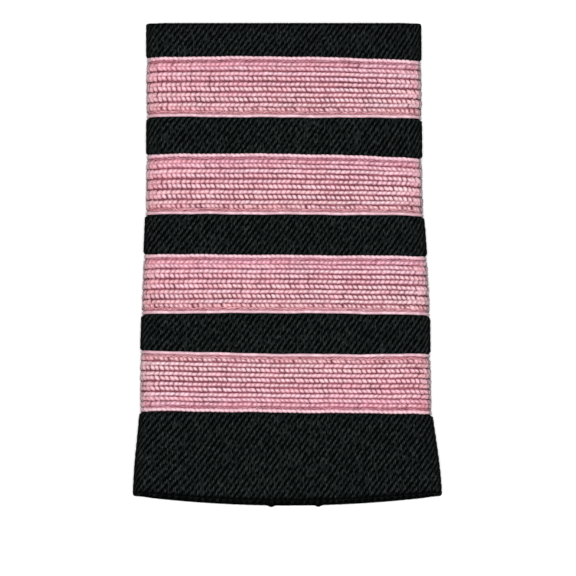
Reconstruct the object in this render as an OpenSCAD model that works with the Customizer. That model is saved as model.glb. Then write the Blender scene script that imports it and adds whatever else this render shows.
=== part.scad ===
// Slip-on shoulder board: a flat tube of black twill that slides over a shoulder strap,
// with four bars of pink braid wrapped round it and caught in the seam down its back.
// It lies on its back with the front up. +X is to the right of the front, +Y is towards
// the collar end and +Z is up. The origin is on the surface, under the middle.
// All lengths are in millimetres.

/* [Sleeve] */
// Length down the middle, from the collar end to the shoulder end
length = 100.8; // [96:0.1:120]
// Width over the side folds at the collar end
collar_w = 57.2; // [50:0.1:62]
// Width over the side folds at the shoulder end
shoulder_w = 63.4; // [58:0.1:72]
// How far the middle of the collar end lies to the left of the middle of the shoulder end
collar_shift = 0.8; // [0:0.1:2]
// Thickness of the cloth wall
cloth_t = 1; // [1:0.1:1.4]
// Thickness that the turned-in hem adds inside each open end
hem_t = 0.4; // [0.2:0.1:0.6]
// Depth of the hem at the shoulder end
hem_deep = 9; // [5:0.5:10]
// Clear height for the shoulder strap, at the middle and under a braid
clear_h = 5.2; // [4.6:0.1:7]
// Extra clear height at the shoulder end, which stands open
mouth_rise = 0.5; // [0:0.1:1.5]
// How far the cut of the shoulder end swells out at its middle
hem_bow = 2; // [0:0.1:4]
// How far the cut of the collar end is hollowed at its middle
collar_hollow = 0.2; // [0:0.1:1.5]
// How far the folds stand out past the rest of the collar end's cut
fold_out = 0.6; // [0:0.1:1.2]
// How far the cloth and the braids ride up towards the collar end at the folds
fold_ride = 0.4; // [0:0.05:0.8]
// How far the folds stand out past the rest of the shoulder end's cut
mouth_out = 0.5; // [0:0.1:1]
// How far the back seam lies to the right of the middle
seam_x = 1.5; // [0:0.1:4]
// Depth of the groove along the back seam
seam_groove = 0.35; // [0.1:0.05:0.6]
// Width of the groove along the back seam
seam_w = 1; // [0.6:0.1:2]

/* [Braids] */
// Width of each braid
braid_w = 12.7; // [10:0.1:13.5]
// Thickness of a braid
braid_t = 1; // [1:0.1:1.4]
// Thickness of a braid at its two edges
edge_t = 0.5; // [0.4:0.05:0.8]
// Width of the thinner strip along each edge of a braid
edge_w = 1; // [0.6:0.1:2]
// How far a braid stands out from the black cloth beside it
braid_proud = 0.2; // [0:0.05:0.6]
// Black cloth showing between the collar end and the first braid
collar_band = 7.85; // [5:0.05:9]
// Black cloth showing between two braids
between_braids = 7.9; // [6:0.1:9]
// Width over which the cloth dips beside the edge of a braid
dip_w = 0.8; // [0.6:0.1:2]
// Clearance kept between the sleeve and a braid
braid_gap = 0.12; // [0.1:0.01:0.2]
// Clearance between the two ends of a braid at the back seam
braid_ends_gap = 0.6; // [0.4:0.1:1.5]

/* [Section] */
// Outside radius of the two side folds, as a share of the height of the section
fold_share = 0.45; // [0.2:0.01:0.46]
// Direction in degrees, from sideways, in which the fold passes into the shoulder of the front
fold_end = 66; // [58:1:68]
// Direction in degrees, from sideways, in which the shoulder passes into the flat crown
crown_start = 87; // [86.5:0.1:88]

/* [Hidden] */

// Straight steps over half the back, a fold, a shoulder and half the crown
back_steps = 2;
fold_steps = 7;
shoulder_steps = 3;
crown_steps = 3;

// How the two side folds open from the collar end to the shoulder end.
// Columns: share of the length, share of the flare on the left, share on the right
OUTLINE = [
  [0.00, 0.00, 0.00],
  [0.20, -0.06, 0.01],
  [0.37, -0.06, 0.03],
  [0.47, 0.11, 0.23],
  [0.60, 0.28, 0.40],
  [0.68, 0.38, 0.40],
  [0.81, 0.38, 0.46],
  [0.86, 0.58, 0.66],
  [0.93, 0.89, 0.90],
  [1.00, 1.00, 1.00],
];

// How each braid lies. The first column is the black cloth above it, as a share of
// collar_band for the first braid and of between_braids for the others. The rest say how
// far its upper and lower edges drop below their left ends, as shares of braid_w.
// Columns: cloth above, upper edge at the middle, at the right, lower edge at the middle, at the right
BRAIDS = [
  [1.00, 0.000, 0.055, 0.030, 0.020],
  [0.99, 0.005, 0.065, 0.025, 0.025],
  [1.04, 0.030, 0.035, 0.000, 0.020],
  [0.95, 0.070, 0.055, 0.040, 0.050],
];

// Length over which a hem's edge thins out
hem_step = 0.4;
// Height of the outside of the sleeve's back above the surface
back_z = braid_t + braid_gap;
// How far the cloth dips at the edge of a braid, and under the rest of it
edge_dip = edge_t + braid_gap;
full_dip = braid_t + braid_gap - braid_proud;
// Height of the sleeve's outside over its back, where no braid squeezes it
sleeve_h = clear_h + 2 * cloth_t + full_dip;

function mix(a, b, share) = a + (b - a) * share;

// Value of a column of a table, between its rows
function row_value(table, at, column, i = 0) =
  i >= len(table) - 2 || at <= table[i + 1][0]
    ? mix(table[i][column], table[i + 1][column],
          (at - table[i][0]) / (table[i + 1][0] - table[i][0]))
    : row_value(table, at, column, i + 1);

// Distance of a braid's upper edge from the collar end, at its left
function braid_top(i) =
  i == 0
    ? collar_band * BRAIDS[0][0]
    : braid_top(i - 1) + braid_w + between_braids * BRAIDS[i][0];

// Drop of a smooth edge that is level at the left, given its drop at the middle and right
function edge_drop(middle, right, side) = middle * (1 - side * side) + right * (side * side + side) / 2;

// A section is a row of numbers. Columns: distance from the collar end, dip of the cloth,
// drop at the middle, drop at the right, thickness of the wall
function braid_rows(i) =
  let (
    top = braid_top(i),
    low = top + braid_w,
    upper = [BRAIDS[i][1] * braid_w, BRAIDS[i][2] * braid_w],
    lower = [BRAIDS[i][3] * braid_w, BRAIDS[i][4] * braid_w]
  )
  [
    [top, edge_dip, upper[0], upper[1], cloth_t],
    [top + edge_w, full_dip, upper[0], upper[1], cloth_t],
    [(top + low) / 2, full_dip, (upper[0] + lower[0]) / 2, (upper[1] + lower[1]) / 2, cloth_t],
    [low - edge_w, full_dip, lower[0], lower[1], cloth_t],
    [low, edge_dip, lower[0], lower[1], cloth_t],
  ];

// The collar end's hem stops short of the cloth that dips to the first braid
function sleeve_rows() =
  let (
    collar_hem = collar_band - dip_w - hem_step,
    last = braid_top(len(BRAIDS) - 1) + braid_w + dip_w,
    cut = length - hem_bow,
    hem_end = cut - hem_deep
  )
  [
    [0, 0, collar_hollow, 0, cloth_t + hem_t],
    [collar_hem - hem_step, 0, 0, 0, cloth_t + hem_t],
    [collar_hem, 0, 0, 0, cloth_t],
    for (i = [0:len(BRAIDS) - 1])
      let (
        rows = braid_rows(i),
        first = rows[0],
        end = rows[len(rows) - 1]
      )
      each [
        [first[0] - dip_w, 0, first[2], first[3], cloth_t],
        each rows,
        [end[0] + dip_w, 0, end[2], end[3], cloth_t],
      ],
    [(last + hem_end) / 2, 0, hem_bow * bow_share((last + hem_end) / 2), 0, cloth_t],
    [hem_end, 0, hem_bow * bow_share(hem_end), 0, cloth_t],
    [hem_end + hem_step, 0, hem_bow * bow_share(hem_end + hem_step), 0, cloth_t + hem_t],
    [(hem_end + cut) / 2, 0, hem_bow * bow_share((hem_end + cut) / 2), 0, cloth_t + hem_t],
    [cut, 0, hem_bow, 0, cloth_t + hem_t],
  ];

// Share of the shoulder end's bow that a section has at a distance from the collar end
function bow_share(at) =
  let (low = braid_top(len(BRAIDS) - 1) + braid_w)
  (at - low) / (length - hem_bow - low);

// How far a section lags, which makes room for the folds at the collar end
function section_lag(at) = fold_out * max(0, 1 - at / collar_band);

// How much nearer the collar end the folds lie than the rest of their section. Past the
// last braid they fall back, until at the shoulder end they lie further from it.
function fold_lead(at) =
  let (
    low = braid_top(len(BRAIDS) - 1) + braid_w,
    past = max(0, at - low) / (length - hem_bow - low)
  )
  mix(mix(fold_out, fold_ride, min(1, at / collar_band)), -mouth_out, past);

// How near a point of a section is to the outermost line of a fold, from 0 to 1
function fold_nearness(z, high, offset) =
  let (fold_r = fold_share * high)
  max(0, 1 - abs(z - fold_r) / (fold_r + offset) / sin(fold_end));

// Half widths of the section at a distance from the collar end, on the left and right
function left_w(at, dip) =
  mix(collar_w / 2 + collar_shift, shoulder_w / 2, row_value(OUTLINE, at / length, 1)) - dip;
function right_w(at, dip) =
  mix(collar_w / 2 - collar_shift, shoulder_w / 2, row_value(OUTLINE, at / length, 2)) - dip;
function section_h(at, dip) = sleeve_h - dip + mouth_rise * pow(at / length, 3);

// One half of a section from the back round its fold to the top, as points [x, z].
// It is a straight line, the fold, the shoulder and the crown, each curve an arc that
// leaves the one before it smoothly. The fold's radius is given, and the other two are what
// brings the crown level, at the height of the section, just where the two halves meet.
// The surface lies the given offset outside the sleeve.
function half_section(start_x, half_w, high, offset) =
  let (
    fold_r = fold_share * high,
    span = half_w - fold_r + fold_r * cos(fold_end),
    rise = high - fold_r - fold_r * sin(fold_end),
    a = cos(fold_end) - cos(crown_start),
    b = cos(crown_start),
    c = sin(crown_start) - sin(fold_end),
    d = 1 - sin(crown_start),
    shoulder_r = (span * d - b * rise) / (a * d - b * c),
    crown_r = (a * rise - span * c) / (a * d - b * c),
    fold_at = [half_w - fold_r, fold_r],
    shoulder_at = fold_at + (fold_r - shoulder_r) * [cos(fold_end), sin(fold_end)],
    crown_at = shoulder_at + (shoulder_r - crown_r) * [cos(crown_start), sin(crown_start)]
  )
  [
    for (i = [0:back_steps - 1]) [mix(start_x, fold_at[0], i / back_steps), -offset],
    each arc_points(fold_at, fold_r + offset, -90, fold_end, fold_steps, 0),
    each arc_points(shoulder_at, shoulder_r + offset, fold_end, crown_start, shoulder_steps, 1),
    each arc_points(crown_at, crown_r + offset, crown_start, 90, crown_steps, 1),
  ];

// Points along an arc, leaving out the first when it was given already
function arc_points(at, r, from, to, steps, first) =
  [for (i = [first:steps]) at + r * [cos(mix(from, to, i / steps)), sin(mix(from, to, i / steps))]];

// The same half turned over to the left side, running from the top to the back
function to_left(points) =
  [for (i = [len(points) - 2:-1:0]) [-points[i][0], points[i][1]]];

// A whole section as points [x, y, z], from just right of the seam round to just left of it.
// The row gives its place, and the ends stand the given distance from the seam.
function section(row, offset, from_seam) =
  let (
    left = left_w(row[0], row[1]),
    right = right_w(row[0], row[1]),
    high = section_h(row[0], row[1]),
    loop = concat(
      half_section(seam_x + from_seam, right, high, offset),
      to_left(half_section(from_seam - seam_x, left, high, offset))
    )
  )
  [
    for (p = loop)
      let (
        side = p[0] > 0 ? min(p[0] / right, 1) : max(p[0] / left, -1),
        lead = fold_lead(row[0]) * fold_nearness(p[1], high, offset) - section_lag(row[0])
      )
      [p[0], length / 2 - row[0] - edge_drop(row[2], row[3], side) + lead, back_z + p[1]]
  ];

// Triangles of a strip between two rings of points, whose first points have these numbers
function strip(first, next, count, closed) =
  [
    for (i = [0:count - (closed ? 1 : 2)])
      let (j = (i + 1) % count)
      each [[first + i, next + i, next + j], [first + i, next + j, first + j]]
  ];

// The sleeve: an outer and an inner skin joined at both ends, with a groove at the seam
module sleeve() {
  rows = sleeve_rows();
  outer = [
    for (row = rows)
      let (ring = section(row, 0, seam_w / 2))
      each concat(ring, [[seam_x, (ring[0] + ring[len(ring) - 1])[1] / 2, back_z + seam_groove]])
  ];
  inner = [
    for (row = rows)
      let (ring = section(row, -row[4], seam_w / 2))
      each concat(ring, [[seam_x, (ring[0] + ring[len(ring) - 1])[1] / 2, back_z + row[4]]])
  ];
  count = len(outer) / len(rows);
  inside = len(outer);
  end = (len(rows) - 1) * count;
  faces = [
    for (k = [0:len(rows) - 2])
      each concat(
        strip(k * count, (k + 1) * count, count, true),
        strip(inside + (k + 1) * count, inside + k * count, count, true)
      ),
    each strip(inside, 0, count, true),
    each strip(end, inside + end, count, true),
  ];
  color([0.08, 0.095, 0.09])
    polyhedron(points = concat(outer, inner), faces = faces, convexity = 6);
}

// A braid: a band that starts and ends at the back seam, thinner along its two edges
module braid(i) {
  rows = braid_rows(i);
  thick = [edge_t, braid_t, braid_t, braid_t, edge_t];
  inner = [for (row = rows) each section(row, braid_gap, braid_ends_gap / 2)];
  outer = [
    for (k = [0:len(rows) - 1])
      each section(rows[k], braid_gap + thick[k], braid_ends_gap / 2)
  ];
  count = len(outer) / len(rows);
  inside = len(outer);
  end = (len(rows) - 1) * count;
  faces = [
    for (k = [0:len(rows) - 2])
      each concat(
        strip(k * count, (k + 1) * count, count, false),
        strip(inside + (k + 1) * count, inside + k * count, count, false),
        end_cap(inside + k * count, inside + (k + 1) * count, k * count, (k + 1) * count),
        end_cap(
          (k + 1) * count - 1, (k + 2) * count - 1,
          inside + (k + 1) * count - 1, inside + (k + 2) * count - 1
        )
      ),
    each strip(inside, 0, count, false),
    each strip(end, inside + end, count, false),
  ];
  color([0.86, 0.62, 0.66])
    polyhedron(points = concat(outer, inner), faces = faces, convexity = 6);
}

// Two triangles that close the end of a band between four points
function end_cap(a, b, c, d) = [[a, b, d], [a, d, c]];

sleeve();
braid(0);  // braid_1
braid(1);  // braid_2
braid(2);  // braid_3
braid(3);  // braid_4
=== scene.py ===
"""Looks of a slip-on shoulder board: a flat tube of black twill with four bars of pink braid.

It lies on its back with the front up: +X is to the right, +Y towards the collar end and +Z up.
Sizes are in millimetres and become metres where a mesh is made.
"""
import math

import bmesh
import bpy
import numpy as np
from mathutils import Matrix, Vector


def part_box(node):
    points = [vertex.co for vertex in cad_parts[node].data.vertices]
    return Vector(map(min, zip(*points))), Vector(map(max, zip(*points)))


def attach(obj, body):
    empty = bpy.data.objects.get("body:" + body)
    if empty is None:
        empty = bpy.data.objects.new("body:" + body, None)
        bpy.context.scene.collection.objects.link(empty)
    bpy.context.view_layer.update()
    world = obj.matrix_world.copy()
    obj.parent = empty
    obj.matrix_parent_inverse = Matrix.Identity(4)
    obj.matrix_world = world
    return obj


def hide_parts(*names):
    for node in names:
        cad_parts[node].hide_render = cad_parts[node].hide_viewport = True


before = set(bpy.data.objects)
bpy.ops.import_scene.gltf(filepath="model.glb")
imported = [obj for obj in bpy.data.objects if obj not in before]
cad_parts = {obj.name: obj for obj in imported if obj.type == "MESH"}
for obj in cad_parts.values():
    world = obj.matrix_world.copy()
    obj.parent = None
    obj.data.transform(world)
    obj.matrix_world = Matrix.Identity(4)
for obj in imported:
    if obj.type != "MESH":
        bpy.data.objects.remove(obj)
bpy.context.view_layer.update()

MM = 0.001

# Sleeve: the same driving sizes as the solids
sleeve_low, sleeve_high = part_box("sleeve")
LENGTH = (sleeve_high.y - sleeve_low.y) / MM
# Width of each end, and how far the collar end lies off to the left
COLLAR_W = 57.2
SHOULDER_W = 63.4
COLLAR_SHIFT = 0.8
# Cloth, the turned-in hem's extra thickness and depth, and the slope that it stops with
CLOTH_T = 1.0
HEM_T = 0.4
HEM_DEEP = 9.0
HEM_STEP = 0.4
# Room inside under the braids, and how much higher the shoulder end stands
CLEAR_H = 5.2
MOUTH_RISE = 0.5
# How far the middle of the shoulder end bows out, and that of the collar end hollows in
HEM_BOW = 2.0
COLLAR_HOLLOW = 0.2
# How far the folds lie towards the collar end there and along the braids, and how far they
# lie the other way at the shoulder end
FOLD_OUT = 0.6
FOLD_RIDE = 0.4
MOUTH_OUT = 0.5
# How far the back seam lies right of the middle, and the depth and width of its groove
SEAM_X = 1.5
SEAM_GROOVE = 0.35
SEAM_W = 1.0
# Half width and thickness of the seam allowance pressed open inside the back, how gently it
# ends, and how gently it starts beside the seam
ALLOWANCE_W = 4.85
ALLOWANCE_T = 0.3
ALLOWANCE_EDGE = 0.3
ALLOWANCE_START = 0.5
# How far the corners of the allowance stand out of the shoulder end, their width, and how
# long they are
NUB_OUT = 0.35
NUB_W = 0.55
NUB_DEEP = 1.2

# How far the rounded edge of an open end stands out, how much the ribs show round it, and how
# wide the painted shade along it is
HEM_ROUND = 0.4
HEM_SHOWS = 0.55
RIM_W = 1.0
# Painted shade along the folds of the twill: how dark, from 0 to 1, and where it starts and is
# full
TWILL_FOLD_SHADE = 0.6
TWILL_FOLD_SHADE_SIDE = (0.970, 0.988)
# Rows of points round each open edge, and inside along the shoulder end's hem, the middle
# and the collar end's hem
EDGE_ROWS = 9
SHOULDER_HEM_ROWS = 12
MIDDLE_ROWS = 36
COLLAR_HEM_ROWS = 8

# Braids: their width and thickness, that of their edges, over what width they thin, and how
# far they stand proud of the cloth
BRAID_W = 12.7
BRAID_T = 1.0
EDGE_T = 0.5
EDGE_W = 1.0
BRAID_PROUD = 0.2
# Cloth above the first braid and between two of them, and the gap under a braid
COLLAR_BAND = 7.85
BETWEEN_BRAIDS = 7.9
BRAID_GAP = 0.12
# How far from the first braid the collar end's hem stops inside
DIP_W = 0.8
# Over what width the cloth turns down beside a braid
TURN_DOWN_W = 0.5
# How near the two ends of a braid come to the middle of the back seam
END_GAP = 0.15
# How far those ends sink into the seam, and over what length
END_SINK = 0.22
END_SINK_W = 0.9
# How far a braid's edges wander, and over what length
WANDER = 0.07
WANDER_LENGTH = 17.0

# Thickness of the woven ground that the stitches of a braid stand on
GROUND_T = 0.5
# Where the flat of its top starts and ends, as shares of its width, and the points along it
GROUND_FLAT = (0.1, 0.9)
FLAT_POINTS = 11
# The points of its section along an edge and along its underside
# Columns: share across, height above the underside
GROUND_EDGE = [(0.005, 0.12), (0.03, 0.2), (0.075, 0.42)]
GROUND_UNDERSIDE = [(0.96, 0.0), (0.5, 0.0), (0.04, 0.0)]
# Points round the sleeve along the ground and the cord, a row of stitches and one of threads
BAND_POINTS = 260
ROW_POINTS = 360
THREAD_POINTS = 300

# Section: the radius of the side folds as a share of its height, where its arcs meet, and
# the points along each of its parts
FOLD_SHARE = 0.45
FOLD_END = math.radians(66)
CROWN_START = math.radians(87)
PART_POINTS = 24

BACK_Z = BRAID_T + BRAID_GAP
EDGE_DIP = EDGE_T + BRAID_GAP
FULL_DIP = BRAID_T + BRAID_GAP - BRAID_PROUD
SLEEVE_H = CLEAR_H + 2 * CLOTH_T + FULL_DIP

# Columns: share of the length, share of the flare on the left, share on the right
OUTLINE = [
    (0.00, 0.00, 0.00),
    (0.20, -0.06, 0.01),
    (0.37, -0.06, 0.03),
    (0.47, 0.11, 0.23),
    (0.60, 0.28, 0.40),
    (0.68, 0.38, 0.40),
    (0.81, 0.38, 0.46),
    (0.86, 0.58, 0.66),
    (0.93, 0.89, 0.90),
    (1.00, 1.00, 1.00),
]
# Over what share of the length to each side the corners of that table are softened
OUTLINE_SOFT = 0.03

# Columns: cloth above as a share of its band, then the drop of the upper edge at the middle
# and at the right and of the lower edge at the middle and at the right, as shares of BRAID_W
BRAIDS = [
    (1.00, 0.000, 0.055, 0.030, 0.020),
    (0.99, 0.005, 0.065, 0.025, 0.025),
    (1.04, 0.030, 0.035, 0.000, 0.020),
    (0.95, 0.070, 0.055, 0.040, 0.050),
]
# The fourth braid is sewn on the other way round
TURNED = (False, False, False, True)

# Twill: a warp end covers three picks and goes under the fourth, one pick later on the next
# end, so a rib is four ends wide and four picks long. Ends run straight down the front.
FLOAT = 4
# Ribs round the sleeve, and the width and length of one on the front
RIBS = 104
RIB_ROUND = 1.18
RIB_DOWN = 1.665
RIB_DEPTH = 0.12
RIB_UNEVEN = 0.9
# How wide the part of the front is over which the ends run straight
STRAIGHT_W = 40.0
# Rows of points under a braid, and how far under it the cloth is made in full
HIDDEN_ROWS = 4
TUCK = 0.35
# Half width of the plain line along the seam, and over what width the ribs rise beside it
SEAM_PLAIN = 0.2
SEAM_FADE = 0.5

# Rows of stitches of a braid, from its upper edge down: the beaded edge, then ridges of long
# stitches in turn with rows of beads.
# Columns: share across, length, width, height (mm), slant (degrees), start (share of a
# stitch), paleness, how rosy its yarn is
STITCH_PITCH = 0.95
ROWS = [
    (0.035, 1.26, 0.68, 0.44, -8, 0.0, 0.72, 0.00),
    (0.137, 1.36, 0.82, 0.31, 3, 0.2, 0.02, 1.10),
    (0.209, 1.24, 0.80, 0.43, -4, 0.6, 0.46, 0.50),
    (0.293, 1.27, 0.78, 0.42, 3, 0.1, 0.53, -0.10),
    (0.374, 1.09, 0.80, 0.48, -4, 0.5, 0.65, 0.10),
    (0.463, 1.14, 0.76, 0.42, 3, 0.8, 0.42, 0.25),
    (0.545, 1.05, 0.82, 0.50, -4, 0.3, 0.78, -0.20),
    (0.633, 1.23, 0.76, 0.42, 3, 0.9, 0.50, -0.15),
    (0.713, 1.00, 0.82, 0.50, -4, 0.4, 0.68, -0.45),
    (0.797, 1.26, 0.76, 0.40, 3, 0.0, 0.42, -0.50),
    (0.871, 1.07, 0.80, 0.38, -4, 0.7, 0.24, 0.35),
]
# How high the edge's stitches stand as a share of EDGE_T, and how far the others sink into
# the ground
EDGE_LIFT = 0.35
STITCH_SINK = 0.02
# Outline of a stitch: its sides, and the power under 1 that squares it up. An edge's stitch
# and a thread's are rounder.
STITCH_SIDES = 12
EDGE_SIDES = 10
THREAD_SIDES = 6
STITCH_SQUARE = 0.65
ROUND_SQUARE = 0.75
# Columns: radius, height, as shares of the whole
PLUMP = ((1.0, -0.35), (0.96, 0.36), (0.68, 0.84))
THIN = ((1.0, -0.4), (0.8, 0.5))
# How much the stitches of each kind stray: in size (share), turn (degrees) and place (mm)
RIDGE_STRAYS = (0.09, 4.5, 0.11)
BEAD_STRAYS = (0.09, 4.5, 0.085)
EDGE_STRAYS = (0.07, 7, 0.03)
THREAD_STRAYS = (0.35, 20, 0.12)
# How the rows close up in pairs. Above 0 a ridge closes up with the row of beads below it,
# below 0 with the one above it.
# Columns: side from -1 at the left fold to 1 at the right one, closing
CLOSING = [
    (-1.00, 1.00),
    (-0.85, 0.90),
    (-0.70, 0.60),
    (-0.30, 0.42),
    (0.00, 0.24),
    (0.30, 0.12),
    (0.60, -0.15),
    (0.80, -0.30),
    (0.93, -1.00),
    (1.00, -1.00),
]
# How much of it each braid has where it is above 0, and where it is below 0
CLOSING_SHARES = [(1.0, 1.0), (1.0, 1.0), (0.8, 0.7), (0.35, 0.5)]
# The closing at which the rows lie evenly, and what closing up does to a row at the most
EVEN_AT = 0.22
CLOSE_BY = 0.13
CLOSE_WIDEN = 0.20
CLOSE_SLANT = 8
# How far the stitches of a ridge and of a row of beads lean along their row
RIDGE_LEAN = 0.22
BEAD_LEAN = -0.38
# How far stitches stray across their row, as a share of how far they stray along it
ASIDE = 0.22
# How much more than the others the rows next to the edges stray in size, turn and place
LOOSE_ROWS = {1: 1.5, 10: 2.0}
# How much more all of them stray at the folds, and where that starts and is full
FOLD_STRAY = 0.8
FOLD_STRAY_SIDE = (0.86, 0.97)
# The smooth cord along the other edge: its place, its radius, the lengths that it is bent in,
# how lumpy it is and its sides
CORD_AT = 0.974
CORD_R = 0.31
CORD_STEP = 0.5
CORD_LUMPS = 0.09
CORD_SIDES = 9
# Loose threads in the two strips between the edges and the rows
# Columns: share across, length, width, height (mm), slant (degrees), paleness, how rosy
THREAD_ROWS = [
    (0.066, 1.5, 0.17, 0.16, -14, 0.15, 1.10),
    (0.090, 1.3, 0.15, 0.14, 9, 0.15, 1.00),
    (0.910, 1.4, 0.22, 0.18, -7, 0.50, 0.70),
    (0.934, 1.5, 0.16, 0.14, 12, 0.25, 0.70),
]
THREAD_PITCH = 0.62
# How far each row of threads starts after the one before, and how far threads sink in
THREAD_START = 0.37
THREAD_SINK = 0.1
# What the dye takes from the yarn's red, green and blue where it is rosy by 1
ROSE = (-0.012, 0.11, 0.095)
# How the rosiness changes along a braid, and how strong its patches are
ROSE_DRIFT = 0.45
ROSE_PATCHES = 0.42
# How much more blue the yarn is along the upper edge than along the middle
MAUVE = 0.05
# How much painted shade darkens the yarn along the very edge of the left fold and of the right
# one, and where that starts and is full
FOLD_EDGE_SHADE = (0.66, 0.80)
FOLD_EDGE_SHADE_SIDE = (0.958, 0.996)
# How much painted shade turns it deep rose beside that line, and where that starts and is full
FOLD_BAND_SHADE = 0.22
FOLD_BAND_SHADE_SIDE = (0.91, 0.96)
# How flat the stitches are pressed at the very edge of the folds, where that starts and is
# full, how much wider a flat stitch would be, and how far it would be lifted, in heights
FOLD_PRESS = 0.45
FOLD_PRESS_SIDE = (0.92, 0.99)
PRESS_WIDEN = 0.2
PRESS_LIFT = 0.8
# How much flatter the stitches are that the slide lies on
BACK_PRESS = 0.1

# Patterns, each as how many come to a millimetre
# Pale and dark patches of the yarn, 6 mm apart, and what they and chance do to a stitch
YARN_PATCHES = 0.17
PATCH_TINT = 0.4
CHANCE_TINT = 0.27
# Lumps of the smooth cord, 1.1 mm apart, and its tint from painted shade in their hollows to a
# painted highlight on their tops
CORD_GRAIN = 0.9
CORD_LUMP_SHADING = (-0.4, 1.2)
# Uneven spots of the ribs, 1.4 mm apart
RIB_GRAIN = 0.7
# Crossings of the ground's threads, 0.4 mm apart, and its worn patches, 2.4 mm apart
GROUND_GRAIN = 2.6
GROUND_PATCHES = 0.42
# Bundles of filaments of the edge cord, 0.6 mm apart
EDGE_GRAIN = 1.8
# Broad shades of the floor, 170 mm apart
FLOOR_GRAIN = 0.006
# Filaments to the length and the width of a stitch, 0.11 mm apart. Real ones are finer, and
# are drawn as coarse as they need to be to show.
FILAMENTS = (1.2, 7.0, 1.0)
# How far apart the filaments of a pale and of a dark stitch are cut from the same pattern
FILAMENT_SHIFT = 40.0
# Patterns of the twill, as how many come to a warp end of 0.3 mm: the waver of the ribs,
# 0.7 mm apart, and the lighter flecks, 0.5 mm apart
TWILL_WAVER = 0.45
TWILL_FLECKS = 0.62

# Finishes, as values of the shader's own sockets
YARN_FINISH = {"Roughness": 0.5, "Specular IOR Level": 0.35, "Sheen Weight": 0.25}
GROUND_FINISH = {"Roughness": 0.75, "Specular IOR Level": 0.2}
TWILL_FINISH = {"Roughness": 0.85, "Specular IOR Level": 0.01}
FLOOR_FINISH = {"Roughness": 0.9, "Specular IOR Level": 0.1}


def mix(a, b, share):
    return a + (b - a) * share


def smooth_step(low, high, value):
    share = np.clip((value - low) / (high - low), 0.0, 1.0)
    return share * share * (3 - 2 * share)


def flare(at, column):
    """Share of the flare at a distance from the collar end, with the table's corners softened."""
    table = np.array(OUTLINE)
    near = np.clip(at / LENGTH + np.linspace(-OUTLINE_SOFT, OUTLINE_SOFT, 5), 0, 1)
    return float(np.mean(np.interp(near, table[:, 0], table[:, column])))


def braid_top(i):
    if i == 0:
        return COLLAR_BAND * BRAIDS[0][0]
    return braid_top(i - 1) + BRAID_W + BETWEEN_BRAIDS * BRAIDS[i][0]


def drop_table():
    """Rows of distance from the collar end, drop at the middle and drop at the right."""
    rows = [(0, COLLAR_HOLLOW, 0)]
    for i, braid in enumerate(BRAIDS):
        top = braid_top(i)
        rows.append((top, braid[1] * BRAID_W, braid[2] * BRAID_W))
        rows.append((top + BRAID_W, braid[3] * BRAID_W, braid[4] * BRAID_W))
    rows.append((LENGTH - HEM_BOW, HEM_BOW, 0))
    return np.array(rows)


DROPS = drop_table()


def dip(at):
    """How far the cloth dips under the braids at a distance from the collar end."""
    deepest = 0.0
    for i in range(len(BRAIDS)):
        top = braid_top(i)
        inside = min(at - top, top + BRAID_W - at)
        edge = EDGE_DIP * smooth_step(-TURN_DOWN_W, 0.0, inside)
        rest = (FULL_DIP - EDGE_DIP) * smooth_step(0.0, EDGE_W, inside)
        deepest = max(deepest, float(edge + rest))
    return deepest


def half_section(start_x, half_w, high):
    """Half a section from the back round its fold to the top: points and outward directions.

    It is a straight line, the fold, the shoulder and the crown, whose radii are worked out
    so that the crown is level where the two halves meet.
    """
    fold_r = FOLD_SHARE * high
    span = half_w - fold_r + fold_r * math.cos(FOLD_END)
    rise = high - fold_r - fold_r * math.sin(FOLD_END)
    a = math.cos(FOLD_END) - math.cos(CROWN_START)
    b = math.cos(CROWN_START)
    c = math.sin(CROWN_START) - math.sin(FOLD_END)
    d = 1 - math.sin(CROWN_START)
    shoulder_r = (span * d - b * rise) / (a * d - b * c)
    crown_r = (a * rise - span * c) / (a * d - b * c)
    centre = np.array((half_w - fold_r, fold_r))
    back = np.linspace(start_x, centre[0], PART_POINTS)
    points = [np.stack((back, np.zeros(PART_POINTS)), axis=1)]
    out = [np.tile((0.0, -1.0), (PART_POINTS, 1))]
    radius = fold_r
    turns = (-math.pi / 2, FOLD_END, CROWN_START, math.pi / 2)
    for start, end, next_r in zip(turns, turns[1:], (shoulder_r, crown_r, 0)):
        angle = np.linspace(start, end, PART_POINTS)[1:]
        ray = np.stack((np.cos(angle), np.sin(angle)), axis=1)
        points.append(centre + radius * ray)
        out.append(ray)
        centre = centre + (radius - next_r) * ray[-1]
        radius = next_r
    return np.concatenate(points), np.concatenate(out)


def half_widths(at):
    """Half widths of the section on the left and on the right."""
    depth = dip(at)
    left_w = mix(COLLAR_W / 2 + COLLAR_SHIFT, SHOULDER_W / 2, flare(at, 1)) - depth
    right_w = mix(COLLAR_W / 2 - COLLAR_SHIFT, SHOULDER_W / 2, flare(at, 2)) - depth
    return left_w, right_w


def section(at):
    """A whole section, from the seam round the right fold, over the front and back.

    Returns its points, outward directions, the distance walked to each, and the distance
    walked to the middle of the front.
    """
    left_w, right_w = half_widths(at)
    high = SLEEVE_H - dip(at) + MOUTH_RISE * (at / LENGTH) ** 3
    right, right_out = half_section(SEAM_X, right_w, high)
    left, left_out = half_section(-SEAM_X, left_w, high)
    line = np.concatenate((right, left[-2::-1] * (-1, 1)))
    out = np.concatenate((right_out, left_out[-2::-1] * (-1, 1)))
    walked = np.concatenate(((0,), np.cumsum(np.linalg.norm(np.diff(line, axis=0), axis=1))))
    return line, out, walked, walked[len(right) - 1]


def girth_at(at):
    """The way round the sleeve at a distance from the collar end."""
    return section(at)[2][-1]


def fold_lead(at):
    """How much nearer the collar end the folds lie than the rest of their section."""
    low = braid_top(len(BRAIDS) - 1) + BRAID_W
    past = max(0, at - low) / (LENGTH - HEM_BOW - low)
    return mix(mix(FOLD_OUT, FOLD_RIDE, min(1, at / COLLAR_BAND)), -MOUTH_OUT, past)


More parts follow.
